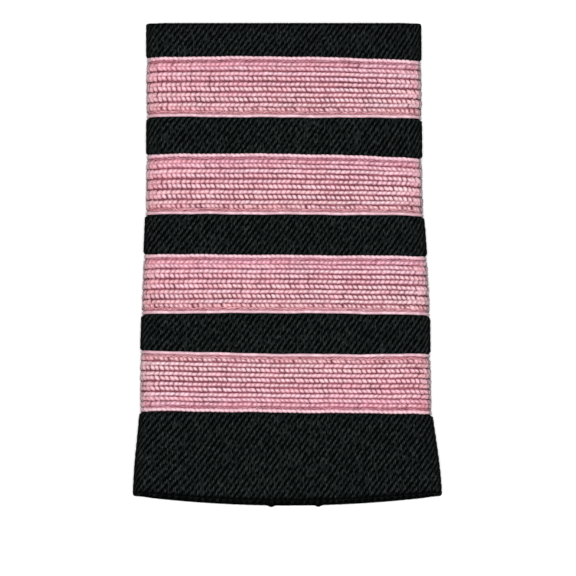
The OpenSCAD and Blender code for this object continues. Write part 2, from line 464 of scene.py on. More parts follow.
def ring(at, shares, drops=None):
    """Points round the sleeve at a distance from the collar end, and outward directions.

    Shares are of the way round from the seam. The side runs from -1 at the left fold to 1.
    """
    line, out, walked, _ = section(at)
    left_w, right_w = half_widths(at)
    place = np.asarray(shares) * walked[-1]
    x, z, out_x, out_z = (np.interp(place, walked, column) for column in (*line.T, *out.T))
    side = np.clip(np.where(x > 0, x / right_w, x / left_w), -1, 1)
    if drops is None:
        drops = [np.interp(at, DROPS[:, 0], DROPS[:, column]) for column in (1, 2)]
    drop = drops[0] * (1 - side**2) + drops[1] * (side**2 + side) / 2
    fold_nearness = 1 - np.clip(np.abs(out_z) / math.sin(FOLD_END), 0, 1)
    lead = fold_lead(at) * fold_nearness - FOLD_OUT * max(0, 1 - at / COLLAR_BAND)
    points = np.stack((x, LENGTH / 2 - at - drop + lead, BACK_Z + z), axis=1)
    return points, np.stack((out_x, np.zeros_like(x), out_z), axis=1), side, walked[-1]


# Meshes

def placed(name, data):
    """An object of the scene for a mesh, a light or the camera."""
    made = bpy.data.objects.new(name, data)
    bpy.context.scene.collection.objects.link(made)
    return made


def mesh_object(name, points, edges=(), faces=(), unit=MM):
    """A smooth mesh object from points in millimetres, or in another unit."""
    mesh = bpy.data.meshes.new(name)
    mesh.from_pydata((np.asarray(points) * unit).tolist(), edges, faces)
    mesh.polygons.foreach_set("use_smooth", [True] * len(mesh.polygons))
    return placed(name, mesh)


def set_attribute(mesh, name, values):
    """A number or a vector for each point of a mesh."""
    values = np.asarray(values, np.float32)
    kind, field = ("FLOAT_VECTOR", "vector") if values.ndim == 2 else ("FLOAT", "value")
    mesh.attributes.new(name, kind, "POINT").data.foreach_set(field, values.ravel())


def set_uv(mesh, name, values):
    """A UV map from a pair of numbers for each corner."""
    layer = mesh.uv_layers.new(name=name)
    layer.data.foreach_set("uv", np.asarray(values, np.float32).ravel())


def outward(piece):
    """Turns a closed mesh's faces outwards."""
    mesh = bmesh.new()
    mesh.from_mesh(piece.data)
    bmesh.ops.recalc_face_normals(mesh, faces=mesh.faces)
    mesh.to_mesh(piece.data)
    mesh.free()


# Node trees

def add(tree, kind, inputs=None, **settings):
    """Adds a node to a tree, with its settings and with its inputs set or linked.

    A node given for an input stands for the first of its outputs that is in use. Inputs that
    don't fit a node's own line are written on the line before it, under the name that the
    node then takes. Those of Map Range are a value (0), the range that it is in (1, 2) and
    the one that it becomes (3, 4, or else 0 to 1), and those of Mix a share (0) and two
    colours (6, 7).
    """
    node = tree.nodes.new(kind)
    for name, value in settings.items():
        setattr(node, name, value)
    for name, value in (inputs or {}).items():
        if isinstance(value, bpy.types.Node):
            value = next(output for output in value.outputs if output.enabled)
        if isinstance(value, bpy.types.NodeSocket):
            tree.links.new(value, node.inputs[name])
        else:
            node.inputs[name].default_value = value
    return node


def new_tree(name, inputs):
    """A Geometry Nodes tree with named inputs. Returns it with its input sockets by name."""
    tree = bpy.data.node_groups.new(name, "GeometryNodeTree")
    tree.interface.new_socket("Geometry", in_out="OUTPUT", socket_type="NodeSocketGeometry")
    tree.interface.new_socket("Geometry", in_out="INPUT", socket_type="NodeSocketGeometry")
    for title, kind in inputs.items():
        tree.interface.new_socket(title, in_out="INPUT", socket_type="NodeSocket" + kind)
    return tree, add(tree, "NodeGroupInput").outputs


def end_tree(tree, geometry, material):
    """Makes the instances real, sets the material and ends the tree."""
    real = add(tree, "GeometryNodeRealizeInstances", {"Geometry": geometry})
    smooth = add(tree, "GeometryNodeSetShadeSmooth", {"Geometry": real})
    look = {"Geometry": smooth, "Material": material}
    painted = add(tree, "GeometryNodeSetMaterial", look)
    add(tree, "NodeGroupOutput", {"Geometry": painted})


def grown(name, guide, tree, values):
    """Runs a tree on a guide object and returns the result as a plain mesh object."""
    modifier = guide.modifiers.new(tree.name, "NODES")
    modifier.node_group = tree
    for item in tree.interface.items_tree:
        if item.in_out == "INPUT" and item.name in values:
            modifier[item.identifier] = values[item.name]
    graph = bpy.context.evaluated_depsgraph_get()
    mesh = bpy.data.meshes.new_from_object(
        guide.evaluated_get(graph), preserve_all_data_layers=True, depsgraph=graph
    )
    guide.modifiers.clear()
    bpy.data.objects.remove(guide)
    mesh.name = name
    return placed(name, mesh)


def stitch_tree():
    """Stitches laid end to end along paths, each turned, sized and strayed a little."""
    inputs = {
        "Stitch": "Object",
        "Count": "Int",
        "Size stray": "Float",
        "Turn stray": "Float",
        "Place stray": "Float",
        "Seed": "Int",
        "Material": "Material",
    }
    tree, given = new_tree("stitches along paths", inputs)
    curve = add(tree, "GeometryNodeMeshToCurve", {"Mesh": given["Geometry"]})
    spacing = {"Curve": curve, "Count": given["Count"]}
    spaced = add(tree, "GeometryNodeResampleCurve", spacing, mode="COUNT")
    out, size = (
        add(tree, "GeometryNodeInputNamedAttribute", {"Name": name}, data_type="FLOAT_VECTOR")
        for name in ("out", "size")
    )
    slant, stray, pale = (
        add(tree, "GeometryNodeInputNamedAttribute", {"Name": name}, data_type="FLOAT")
        for name in ("slant", "stray", "pale")
    )
    along = add(tree, "GeometryNodeInputTangent")
    across = add(tree, "ShaderNodeVectorMath", {0: out, 1: along}, operation="CROSS_PRODUCT")

    # A number from -1 to 1 for each way in which a stitch strays, always the same for a seed
    chances = []
    for salt in (1, 2, 3, 4, 5, 6, 9):
        seed = add(tree, "ShaderNodeMath", {0: given["Seed"], 1: salt}, operation="ADD")
        limits = {2: -1.0, 3: 1.0, "Seed": seed}
        chances.append(add(tree, "FunctionNodeRandomValue", limits, data_type="FLOAT"))
    forth_chance, aside_chance, turn_chance, *size_chances, tint_chance = chances

    # Place
    most = add(tree, "ShaderNodeMath", {0: given["Place stray"], 1: stray}, operation="MULTIPLY")
    forth_by = add(tree, "ShaderNodeMath", {0: most, 1: forth_chance}, operation="MULTIPLY")
    forth = add(tree, "ShaderNodeVectorMath", {0: along, "Scale": forth_by}, operation="SCALE")
    aside_by = add(tree, "ShaderNodeMath", {0: most, 1: aside_chance}, operation="MULTIPLY")
    aside_by = add(tree, "ShaderNodeMath", {0: aside_by, 1: ASIDE}, operation="MULTIPLY")
    aside = add(tree, "ShaderNodeVectorMath", {0: across, "Scale": aside_by}, operation="SCALE")
    offset = add(tree, "ShaderNodeVectorMath", {0: forth, 1: aside}, operation="ADD")
    moved = add(tree, "GeometryNodeSetPosition", {"Geometry": spaced, "Offset": offset})

    # Turn
    axes = {"primary_axis": "Z", "secondary_axis": "X"}
    level = add(tree, "FunctionNodeAxesToRotation", {0: out, 1: along}, **axes)
    most = add(tree, "ShaderNodeMath", {0: given["Turn stray"], 1: stray}, operation="MULTIPLY")
    turn = {0: most, 1: turn_chance, 2: slant}
    turn = add(tree, "ShaderNodeMath", turn, operation="MULTIPLY_ADD")
    twist = add(tree, "FunctionNodeAxisAngleToRotation", {"Axis": (0, 0, 1), "Angle": turn})
    turned = {0: level, 1: twist}
    turned = add(tree, "FunctionNodeRotateRotation", turned, rotation_space="LOCAL")

    # Size
    most = add(tree, "ShaderNodeMath", {0: given["Size stray"], 1: stray}, operation="MULTIPLY")
    factors = [
        add(tree, "ShaderNodeMath", {0: most, 1: chance, 2: 1.0}, operation="MULTIPLY_ADD")
        for chance in size_chances
    ]
    factors = add(tree, "ShaderNodeCombineXYZ", dict(enumerate(factors)))
    sized = add(tree, "ShaderNodeVectorMath", {0: size, 1: factors}, operation="MULTIPLY")

    stitch = add(tree, "GeometryNodeObjectInfo", {"Object": given["Stitch"]})
    laying = {
        "Points": moved,
        "Instance": stitch.outputs["Geometry"],
        "Rotation": turned,
        "Scale": sized,
    }
    laid = add(tree, "GeometryNodeInstanceOnPoints", laying)

    # How pale each stitch is
    noise = add(tree, "ShaderNodeTexNoise", {"Scale": YARN_PATCHES / MM, "Detail": 1.0})
    patch = {0: noise, 1: PATCH_TINT, 2: -PATCH_TINT / 2}
    patch = add(tree, "ShaderNodeMath", patch, operation="MULTIPLY_ADD")
    tint = add(tree, "ShaderNodeMath", {0: pale, 1: patch}, operation="ADD")
    tint = {0: tint_chance, 1: CHANCE_TINT, 2: tint}
    tint = add(tree, "ShaderNodeMath", tint, operation="MULTIPLY_ADD")
    tinting = {"Geometry": laid, "Name": "tint", "Value": tint}
    kind = {"data_type": "FLOAT", "domain": "INSTANCE"}
    tinted = add(tree, "GeometryNodeStoreNamedAttribute", tinting, **kind)
    end_tree(tree, tinted, given["Material"])
    return tree


def cord_tree():
    """A round cord that follows a path."""
    inputs = {"Radius": "Float", "Step": "Float", "Lumps": "Float", "Material": "Material"}
    tree, given = new_tree("cord along a path", inputs)
    curve = add(tree, "GeometryNodeMeshToCurve", {"Mesh": given["Geometry"]})
    spacing = {"Curve": curve, "Length": given["Step"]}
    spaced = add(tree, "GeometryNodeResampleCurve", spacing, mode="LENGTH")
    outline = {"Resolution": CORD_SIDES, "Radius": given["Radius"]}
    outline = add(tree, "GeometryNodeCurvePrimitiveCircle", outline)
    sweep = {"Curve": spaced, "Profile Curve": outline, "Fill Caps": True}
    tube = add(tree, "GeometryNodeCurveToMesh", sweep)
    noise = add(tree, "ShaderNodeTexNoise", {"Scale": CORD_GRAIN / MM, "Detail": 1.0})
    centred = add(tree, "ShaderNodeMath", {0: noise, 1: 0.5}, operation="SUBTRACT")
    lumps = add(tree, "ShaderNodeMath", {0: centred, 1: given["Lumps"]}, operation="MULTIPLY")
    normal = add(tree, "GeometryNodeInputNormal")
    offset = add(tree, "ShaderNodeVectorMath", {0: normal, "Scale": lumps}, operation="SCALE")
    lumpy = add(tree, "GeometryNodeSetPosition", {"Geometry": tube, "Offset": offset})
    # Painted shade in the hollows of the lumps and a painted highlight on their tops
    hollow, top = CORD_LUMP_SHADING
    tint = {0: noise, 1: top - hollow, 2: hollow}
    tint = add(tree, "ShaderNodeMath", tint, operation="MULTIPLY_ADD")
    tinting = {"Geometry": lumpy, "Name": "tint", "Value": tint}
    kind = {"data_type": "FLOAT", "domain": "POINT"}
    tinted = add(tree, "GeometryNodeStoreNamedAttribute", tinting, **kind)
    end_tree(tree, tinted, given["Material"])
    return tree


def rib_tree():
    """Raises the diagonal ribs of twill on a cloth whose points know where they lie on a rib."""
    inputs = {"Depth": "Float", "Unevenness": "Float", "Material": "Material"}
    tree, given = new_tree("twill ribs", inputs)
    rib, shows = (
        add(tree, "GeometryNodeInputNamedAttribute", {"Name": name}, data_type="FLOAT")
        for name in ("rib", "shows")
    )
    out = {"Name": "out"}
    out = add(tree, "GeometryNodeInputNamedAttribute", out, data_type="FLOAT_VECTOR")

    # Round ribs with a narrow valley wherever the number of the rib is whole
    angle = add(tree, "ShaderNodeMath", {0: rib, 1: math.pi}, operation="MULTIPLY")
    wave = add(tree, "ShaderNodeMath", {0: angle}, operation="COSINE")
    wave = add(tree, "ShaderNodeMath", {0: wave}, operation="ABSOLUTE")
    valley = add(tree, "ShaderNodeMath", {0: wave, 1: 3.0}, operation="POWER")
    height = add(tree, "ShaderNodeMath", {0: valley, 1: -2.0, 2: 1.0}, operation="MULTIPLY_ADD")
    noise = add(tree, "ShaderNodeTexNoise", {"Scale": RIB_GRAIN / MM, "Detail": 2.0})
    uneven = add(tree, "ShaderNodeMath", {0: noise, 1: 0.5}, operation="SUBTRACT")
    height = {0: uneven, 1: given["Unevenness"], 2: height}
    height = add(tree, "ShaderNodeMath", height, operation="MULTIPLY_ADD")
    shown = add(tree, "ShaderNodeMath", {0: height, 1: shows}, operation="MULTIPLY")
    depth = add(tree, "ShaderNodeMath", {0: shown, 1: given["Depth"]}, operation="MULTIPLY")
    offset = add(tree, "ShaderNodeVectorMath", {0: out, "Scale": depth}, operation="SCALE")
    raised = {"Geometry": given["Geometry"], "Offset": offset}
    raised = add(tree, "GeometryNodeSetPosition", raised)
    end_tree(tree, raised, given["Material"])
    return tree


# Materials

def linear(hex_colour):
    """An sRGB hex colour as the linear colour that shaders take."""
    colour = []
    for i in (1, 3, 5):
        part = int(hex_colour[i : i + 2], 16) / 255
        colour.append(part / 12.92 if part <= 0.04045 else ((part + 0.055) / 1.055) ** 2.4)
    return (*colour, 1.0)


def new_material(name):
    material = bpy.data.materials.new(name)
    material.use_nodes = True
    material.node_tree.nodes.clear()
    return material, material.node_tree


def finish_cloth(tree, colour, relief, strength, depth, finish):
    """Ends a cloth's material with its colour, its relief of a depth in mm and its finish."""
    relief = {"Height": relief, "Strength": strength, "Distance": depth * MM}
    bump = add(tree, "ShaderNodeBump", relief)
    look = {"Base Color": colour, "Normal": bump, **finish}
    shader = add(tree, "ShaderNodeBsdfPrincipled", look)
    add(tree, "ShaderNodeOutputMaterial", {"Surface": shader})


def fold_shade_colour(tree, fold):
    """Painted shade that yarn takes at the folds: deep rose, and near black at the very edge."""
    fold_shade_share = {0: fold, 1: 0.2, 2: 0.7}
    fold_shade_share = add(tree, "ShaderNodeMapRange", fold_shade_share, interpolation_type="SMOOTHSTEP")
    tone = {0: fold_shade_share, 6: linear("#A54A5A"), 7: linear("#3E1D29")}
    return add(tree, "ShaderNodeMix", tone, data_type="RGBA")


def braid_yarn():
    """Pink viscose braid yarn, plaited from many fine filaments.

    The eye sees plump pale stitches with a soft satin shine along the filaments, a little
    lighter or darker from one stitch to the next, and deep rose between them. The colour holds
    painted shade at the foot of each stitch and along the folds, and a painted highlight on each
    crest.
    """
    material, tree = new_material("pink viscose braid yarn")
    tint, height, fold = (
        add(tree, "ShaderNodeAttribute", attribute_name=name).outputs["Fac"]
        for name in ("tint", "crown", "fold")
    )
    dyed = add(tree, "ShaderNodeAttribute", attribute_name="dye").outputs["Vector"]

    # Filaments run along each stitch, and are cut from another place for each
    yarn = add(tree, "ShaderNodeUVMap", uv_map="yarn")
    stretched = add(tree, "ShaderNodeMapping", {"Vector": yarn, "Scale": FILAMENTS})
    shift = {0: tint, "Scale": FILAMENT_SHIFT}
    shift = add(tree, "ShaderNodeVectorMath", shift, operation="SCALE")
    shifted = add(tree, "ShaderNodeVectorMath", {0: stretched, 1: shift}, operation="ADD")
    filaments = add(tree, "ShaderNodeTexNoise", {"Vector": shifted, "Scale": 1.0, "Detail": 2.0})
    streaks = {0: filaments, 1: 0.3, 2: 0.7, 3: 0.80, 4: 1.10}
    streaks = add(tree, "ShaderNodeMapRange", streaks, interpolation_type="SMOOTHSTEP")

    # From painted shade at the foot of a stitch to a painted highlight on its crest
    body = {0: tint, 6: linear("#B47F8B"), 7: linear("#E0ACB6")}
    body = add(tree, "ShaderNodeMix", body, data_type="RGBA")
    risen = {0: height, 1: -0.3, 2: 0.75}
    risen = add(tree, "ShaderNodeMapRange", risen, interpolation_type="SMOOTHSTEP")
    body = {0: risen, 6: linear("#7A3B49"), 7: body}
    body = add(tree, "ShaderNodeMix", body, data_type="RGBA")
    # Painted highlight on each crest
    crest_highlight = {0: height, 1: 0.86, 2: 1.0}
    crest_highlight = add(tree, "ShaderNodeMapRange", crest_highlight, interpolation_type="SMOOTHSTEP")
    crest_highlight = add(tree, "ShaderNodeMath", {0: crest_highlight, 1: 0.7}, operation="MULTIPLY")
    body = {0: crest_highlight, 6: body, 7: linear("#F8D5DC")}
    body = add(tree, "ShaderNodeMix", body, data_type="RGBA")
    # Painted shade along the folds
    body = {0: fold, 6: body, 7: fold_shade_colour(tree, fold)}
    body = add(tree, "ShaderNodeMix", body, data_type="RGBA")
    colour = add(tree, "ShaderNodeVectorMath", {0: body, 1: dyed}, operation="MULTIPLY")
    colour = {0: colour, "Scale": streaks}
    colour = add(tree, "ShaderNodeVectorMath", colour, operation="SCALE")
    finish_cloth(tree, colour, filaments, 0.5, 0.06, YARN_FINISH)
    return material


def braid_ground():
    """Rose viscose, woven plain, as the ground of the braid.

    The eye sees it between the stitches as dark matt lines in worn patches. Its dark colour
    there is partly its own and partly painted shade between the stitches, and it is darker along
    the folds by painted shade.
    """
    material, tree = new_material("rose viscose weave")
    place = add(tree, "ShaderNodeTexCoord").outputs["Object"]
    weave = {"Vector": place, "Scale": GROUND_GRAIN / MM, "Detail": 2.0}
    weave = add(tree, "ShaderNodeTexNoise", weave)
    patches = {"Vector": place, "Scale": GROUND_PATCHES / MM, "Detail": 1.0}
    patches = add(tree, "ShaderNodeTexNoise", patches)
    tone = add(tree, "ShaderNodeMath", {0: weave, 1: patches}, operation="MULTIPLY")
    tone = {0: tone, 1: 0.12, 2: 0.4}
    tone = add(tree, "ShaderNodeMapRange", tone, interpolation_type="SMOOTHSTEP")
    # Dark rose: the ground's own colour, darkened as painted shade between the stitches
    colour = {0: tone, 6: linear("#5E2B37"), 7: linear("#884854")}
    colour = add(tree, "ShaderNodeMix", colour, data_type="RGBA")
    # Painted shade along the folds
    fold = add(tree, "ShaderNodeAttribute", attribute_name="fold").outputs["Fac"]
    fold_shade_share = {0: fold, 1: 0.25, 2: 1.0}
    fold_shade_share = add(tree, "ShaderNodeMapRange", fold_shade_share, interpolation_type="SMOOTHSTEP")
    colour = {0: fold_shade_share, 6: colour, 7: linear("#3E1D29")}
    colour = add(tree, "ShaderNodeMix", colour, data_type="RGBA")
    finish_cloth(tree, colour, weave, 0.6, 0.1, GROUND_FINISH)
    return material


def selvedge_yarn():
    """Paler cord along a braid's edge, of the same yarn laid straight, so it shines evenly."""
    material, tree = new_material("pale viscose edge cord")
    tint, fold = (
        add(tree, "ShaderNodeAttribute", attribute_name=name).outputs["Fac"]
        for name in ("tint", "fold")
    )
    place = add(tree, "ShaderNodeTexCoord").outputs["Object"]
    bundles = {"Vector": place, "Scale": EDGE_GRAIN / MM, "Detail": 2.0}
    bundles = add(tree, "ShaderNodeTexNoise", bundles)
    streaks = {0: bundles, 1: 0.25, 2: 0.7, 3: 0.88, 4: 1.04}
    streaks = add(tree, "ShaderNodeMapRange", streaks, interpolation_type="SMOOTHSTEP")
    # On the smooth cord the tint carries painted shade in the lumps' hollows and a painted
    # highlight on their tops
    tint = {0: tint, 1: 0.3, 2: 0.7}
    tint = add(tree, "ShaderNodeMapRange", tint, interpolation_type="SMOOTHSTEP")
    pale = {0: tint, 6: linear("#C99FAA"), 7: linear("#DDB6C0")}
    pale = add(tree, "ShaderNodeMix", pale, data_type="RGBA")
    # Painted shade along the folds
    pale = {0: fold, 6: pale, 7: fold_shade_colour(tree, fold)}
    pale = add(tree, "ShaderNodeMix", pale, data_type="RGBA")
    colour = {0: pale, "Scale": streaks}
    colour = add(tree, "ShaderNodeVectorMath", colour, operation="SCALE")
    finish_cloth(tree, colour, bundles, 0.4, 0.05, YARN_FINISH)
    return material


def black_twill():
    """Black twill of wool and polyester, piece dyed.

    The eye sees steep diagonal ribs of short warp floats, each a little lighter or darker
    than the next, with black dots between the ribs where the ends go under, and no shine. The
    colour holds painted shade, near black in the dips and at the sides of each end, and painted
    highlights on its glinting picks.
    """
    material, tree = new_material("black wool and polyester twill")

    # The map counts warp ends round the sleeve and picks down it
    weave = add(tree, "ShaderNodeUVMap", uv_map="twill")
    ends, picks, _ = add(tree, "ShaderNodeSeparateXYZ", {"Vector": weave}).outputs
    end = add(tree, "ShaderNodeMath", {0: ends}, operation="ROUND")
    pick = add(tree, "ShaderNodeMath", {0: picks}, operation="FLOOR")
    across = add(tree, "ShaderNodeMath", {0: ends, 1: end}, operation="SUBTRACT")
    across = add(tree, "ShaderNodeMath", {0: across}, operation="ABSOLUTE")
    waver = {"Vector": weave, "Scale": TWILL_WAVER, "Detail": 2.0}
    waver = add(tree, "ShaderNodeTexNoise", waver)
    waver = add(tree, "ShaderNodeMath", {0: waver, 1: 0.5, 2: -0.25}, operation="MULTIPLY_ADD")
    stepped = add(tree, "ShaderNodeMath", {0: picks, 1: end}, operation="SUBTRACT")
    ribs = {0: stepped, 1: 1 / FLOAT, 2: waver}
    ribs = add(tree, "ShaderNodeMath", ribs, operation="MULTIPLY_ADD")

    # An end goes under at each whole rib, and a few of those dips are half filled
    nearest = add(tree, "ShaderNodeMath", {0: ribs}, operation="ROUND")
    from_dip = add(tree, "ShaderNodeMath", {0: ribs, 1: nearest}, operation="SUBTRACT")
    from_dip = add(tree, "ShaderNodeMath", {0: from_dip}, operation="ABSOLUTE")
    one_dip = add(tree, "ShaderNodeCombineXYZ", {0: end, 1: nearest, 2: 7})
    filled = add(tree, "ShaderNodeTexWhiteNoise", {"Vector": one_dip})
    filled = {0: filled, 1: 0.6, 2: 1.0, 4: 0.55}
    filled = add(tree, "ShaderNodeMapRange", filled, interpolation_type="SMOOTHSTEP")
    raised = {0: from_dip, 1: 0.10, 2: 0.42}
    raised = add(tree, "ShaderNodeMapRange", raised, interpolation_type="SMOOTHSTEP")
    raised = add(tree, "ShaderNodeMath", {0: raised, 1: filled}, operation="MAXIMUM")
    rounded = {0: across, 1: 0.15, 2: 0.5, 3: 1.0, 4: 0.3}
    rounded = add(tree, "ShaderNodeMapRange", rounded, interpolation_type="SMOOTHSTEP")
    relief = add(tree, "ShaderNodeMath", {0: raised, 1: rounded}, operation="MULTIPLY")

    # Each float has its own brightness, with painted highlights on glinting picks and lighter
    # flecks
    float_number = add(tree, "ShaderNodeMath", {0: ribs}, operation="FLOOR")
    one_float = add(tree, "ShaderNodeCombineXYZ", {0: end, 1: float_number})
    chance = add(tree, "ShaderNodeTexWhiteNoise", {"Vector": one_float})
    own = {0: chance, 1: 0.0, 2: 1.0, 3: 0.38, 4: 0.66}
    own = add(tree, "ShaderNodeMapRange", own, interpolation_type="SMOOTHSTEP")
    one_pick = add(tree, "ShaderNodeCombineXYZ", {0: end, 1: pick})
    glint = add(tree, "ShaderNodeTexWhiteNoise", {"Vector": one_pick})
    glint = {0: glint, 1: 0.75, 2: 1.0, 3: 1.0, 4: 2.1}
    glint = add(tree, "ShaderNodeMapRange", glint, interpolation_type="SMOOTHSTEP")
    fleck = {"Vector": weave, "Scale": TWILL_FLECKS, "Detail": 0.0, "W": 3.0}
    fleck = add(tree, "ShaderNodeTexNoise", fleck, noise_dimensions="4D")
    fleck = {0: fleck, 1: 0.3, 2: 0.7, 3: 0.6, 4: 1.4}
    fleck = add(tree, "ShaderNodeMapRange", fleck, interpolation_type="SMOOTHSTEP")
    # Painted shade along the folds and the rounded edges of the open ends
    edge_shade = add(tree, "ShaderNodeAttribute", attribute_name="edge_shade").outputs["Fac"]
    unshaded = add(tree, "ShaderNodeMath", {0: 1.0, 1: edge_shade}, operation="SUBTRACT")
    bright = add(tree, "ShaderNodeMath", {0: own, 1: glint}, operation="MULTIPLY")
    bright = add(tree, "ShaderNodeMath", {0: bright, 1: fleck}, operation="MULTIPLY")
    lit = add(tree, "ShaderNodeMath", {0: relief, 1: bright}, operation="MULTIPLY")
    lit = add(tree, "ShaderNodeMath", {0: lit, 1: unshaded}, operation="MULTIPLY")
    # The colour is painted shade: near black in the dips and at the sides of each end, lighter on
    # the floats
    colour = {0: lit, 6: linear("#000101"), 7: linear("#2D3231")}
    colour = add(tree, "ShaderNodeMix", colour, data_type="RGBA")
    finish_cloth(tree, colour, relief, 0.7, 0.12, TWILL_FINISH)
    return material


def pale_floor():
    """Matt white backdrop paper, almost even, so that only the slide takes the eye."""
    material, tree = new_material("matt white backdrop paper")
    place = add(tree, "ShaderNodeTexCoord").outputs["Object"]
    shades = {"Vector": place, "Scale": FLOOR_GRAIN / MM, "Detail": 2.0}
    shades = add(tree, "ShaderNodeTexNoise", shades)
    colour = {0: shades, 6: linear("#F7F7F7"), 7: linear("#FBFBFB")}
    colour = add(tree, "ShaderNodeMix", colour, data_type="RGBA")
    look = {"Base Color": colour, **FLOOR_FINISH}
    shader = add(tree, "ShaderNodeBsdfPrincipled", look)
    add(tree, "ShaderNodeOutputMaterial", {"Surface": shader})
    return material


# Sleeve

def twill_rows():
    """Rows of the sleeve's outside: distance from the collar end, picks and what shows.

    Where cloth shows there is a row for each pick. Under a braid they are few.
    """
    edges = [0.0]
    for i in range(len(BRAIDS)):
        edges += [braid_top(i) + TUCK, braid_top(i) + BRAID_W - TUCK]
    edges.append(LENGTH - HEM_BOW)
    rows = []
    count = 0
    for part, (low, high) in enumerate(zip(edges, edges[1:])):
        low_drop, high_drop = np.interp((low, high), DROPS[:, 0], DROPS[:, 1])
        steps = max(2, round((high - low + high_drop - low_drop) / RIB_DOWN * FLOAT))
        bare = part % 2 == 0
        made = steps if bare else HIDDEN_ROWS
        first = 0 if part == 0 else 1
        for k in range(first, made + 1):
            shows = 1.0 if bare or k == made else 0.0
            rows.append((mix(low, high, k / made), count + steps * k / made, shows))
        count += steps
    return rows


def sleeve_profile():
    """One walk along the sleeve's wall: down its outside, round the hem and back up inside.

    Columns: distance from the collar end, depth below the outside, picks, how much the
    ribs show, and whether the row is on the inside.
    """
    cut = LENGTH - HEM_BOW
    wall = CLOTH_T + HEM_T
    per_mm = FLOAT / RIB_DOWN
    outside = twill_rows()
    last = outside[-1][1]
    rows = [
        (at, 0.0, count, shows, 0)
        for at, count, shows in outside
        if HEM_ROUND <= at <= cut - HEM_ROUND
    ]
    for angle in np.linspace(0, math.pi, EDGE_ROWS):
        at = cut - HEM_ROUND + HEM_ROUND * math.sin(angle)
        count = last + HEM_ROUND * (angle - 1) * per_mm
        rows.append((at, wall / 2 * (1 - math.cos(angle)), count, HEM_SHOWS, 0))
    hem_end = cut - HEM_DEEP
    collar_hem = COLLAR_BAND - DIP_W - HEM_STEP
    shoulder = np.linspace(cut - HEM_ROUND, hem_end + HEM_STEP, SHOULDER_HEM_ROWS + 1)[1:]
    middle = np.linspace(hem_end, collar_hem, MIDDLE_ROWS + 1)
    collar = np.linspace(collar_hem - HEM_STEP, HEM_ROUND, COLLAR_HEM_ROWS + 1)[:-1]
    for places, depth in ((shoulder, wall), (middle, CLOTH_T), (collar, wall)):
        rows += [(at, depth, last + (cut - at) * per_mm, 0.0, 1) for at in places]
    for angle in np.linspace(0, math.pi, EDGE_ROWS)[:-1]:
        at = HEM_ROUND - HEM_ROUND * math.sin(angle)
        count = -HEM_ROUND * (math.pi - angle) * per_mm
        rows.append((at, wall / 2 * (1 + math.cos(angle)), count, HEM_SHOWS, 0))
    return rows


def end_shares(at, columns):
    """Places of the warp ends round the sleeve.

    They lie evenly over the front, so that they run straight, and the folds and the back take
    up the flare.
    """
    _, _, walked, middle = section(at)
    straight = STRAIGHT_W / 2
    straight_ends = straight * FLOAT / RIB_ROUND
    numbers = (0, columns / 2 - straight_ends, columns / 2 + straight_ends, columns)
    places = (0, middle - straight, middle + straight, walked[-1])
    return np.interp(np.arange(columns), numbers, places) / walked[-1]


def triangles(here, right, below, below_right):
    """Two triangles for each cell of a grid, which share the diagonal that runs along a rib."""
    first = np.stack((here, below, below_right), axis=2)
    second = np.stack((here, below_right, right), axis=2)
    return np.concatenate((first, second))


def twill_corners(profile, columns):
    """The number of the warp end and of the pick at each corner of each triangle."""
    picks = np.array([row[2] for row in profile])
    next_picks = np.roll(picks, -1)
    next_picks[-1] = picks[-1] + (picks[1] - picks[0])
    ends = np.arange(columns)
    corners = [
        np.stack(np.broadcast_arrays(end[None, :], pick[:, None]), axis=-1)
        for pick in (picks, next_picks)
        for end in (ends, ends + 1)
    ]
    return triangles(*corners)


def sleeve_mesh():
    """The sleeve's wall as one closed mesh, with a point wherever an end crosses a pick."""
    columns = RIBS * FLOAT
    profile = sleeve_profile()
    cut = LENGTH - HEM_BOW
    wall = CLOTH_T + HEM_T
    points = []
    fields = {"out": [], "rib": [], "shows": [], "edge_shade": []}
    for at, depth, count, show, inside in profile:
        shares = end_shares(at, columns)
        round_points, out, side, girth = ring(at, shares)
        from_seam = girth * np.minimum(shares, 1 - shares)
        groove = SEAM_GROOVE * np.clip(1 - (2 * from_seam / SEAM_W) ** 2, 0, 1)
        laid = ALLOWANCE_T * smooth_step(ALLOWANCE_W, ALLOWANCE_W - ALLOWANCE_EDGE, from_seam)
        laid = laid * smooth_step(0.0, ALLOWANCE_START, from_seam)
        sunk = depth + groove * max(1 - depth / wall, 0) + (laid if inside else 0)
        near_nub = np.exp(-(((from_seam - ALLOWANCE_W) / NUB_W) ** 2))
        round_points = round_points - out * sunk[:, None]
        round_points[:, 1] -= NUB_OUT * near_nub * smooth_step(cut - NUB_DEEP, cut, at)
        # Painted shade, carried to the twill's colour, along the rounded edges of the open ends
        # and along the folds
        edge_shade = max(smooth_step(RIM_W, 0, at), smooth_step(cut - RIM_W, cut, at))
        dark = TWILL_FOLD_SHADE * smooth_step(*TWILL_FOLD_SHADE_SIDE, np.abs(side))
        points.append(round_points)
        fields["out"].append(out)
        fields["rib"].append((count - np.arange(columns)) / FLOAT)
        fields["shows"].append(show * np.clip((from_seam - SEAM_PLAIN) / SEAM_FADE, 0, 1))
        fields["edge_shade"].append(np.maximum(edge_shade, dark))
    here = np.arange(len(profile) * columns).reshape(-1, columns)
    below = np.roll(here, -1, axis=0)
    faces = triangles(here, np.roll(here, -1, axis=1), below, np.roll(below, -1, axis=1))
    faces = faces.reshape(-1, 3).tolist()
    sleeve = mesh_object("sleeve_guide", np.concatenate(points), faces=faces)
    for name, values in fields.items():
        set_attribute(sleeve.data, name, np.concatenate(values))
    set_uv(sleeve.data, "twill", twill_corners(profile, columns))
    return sleeve


# Braids

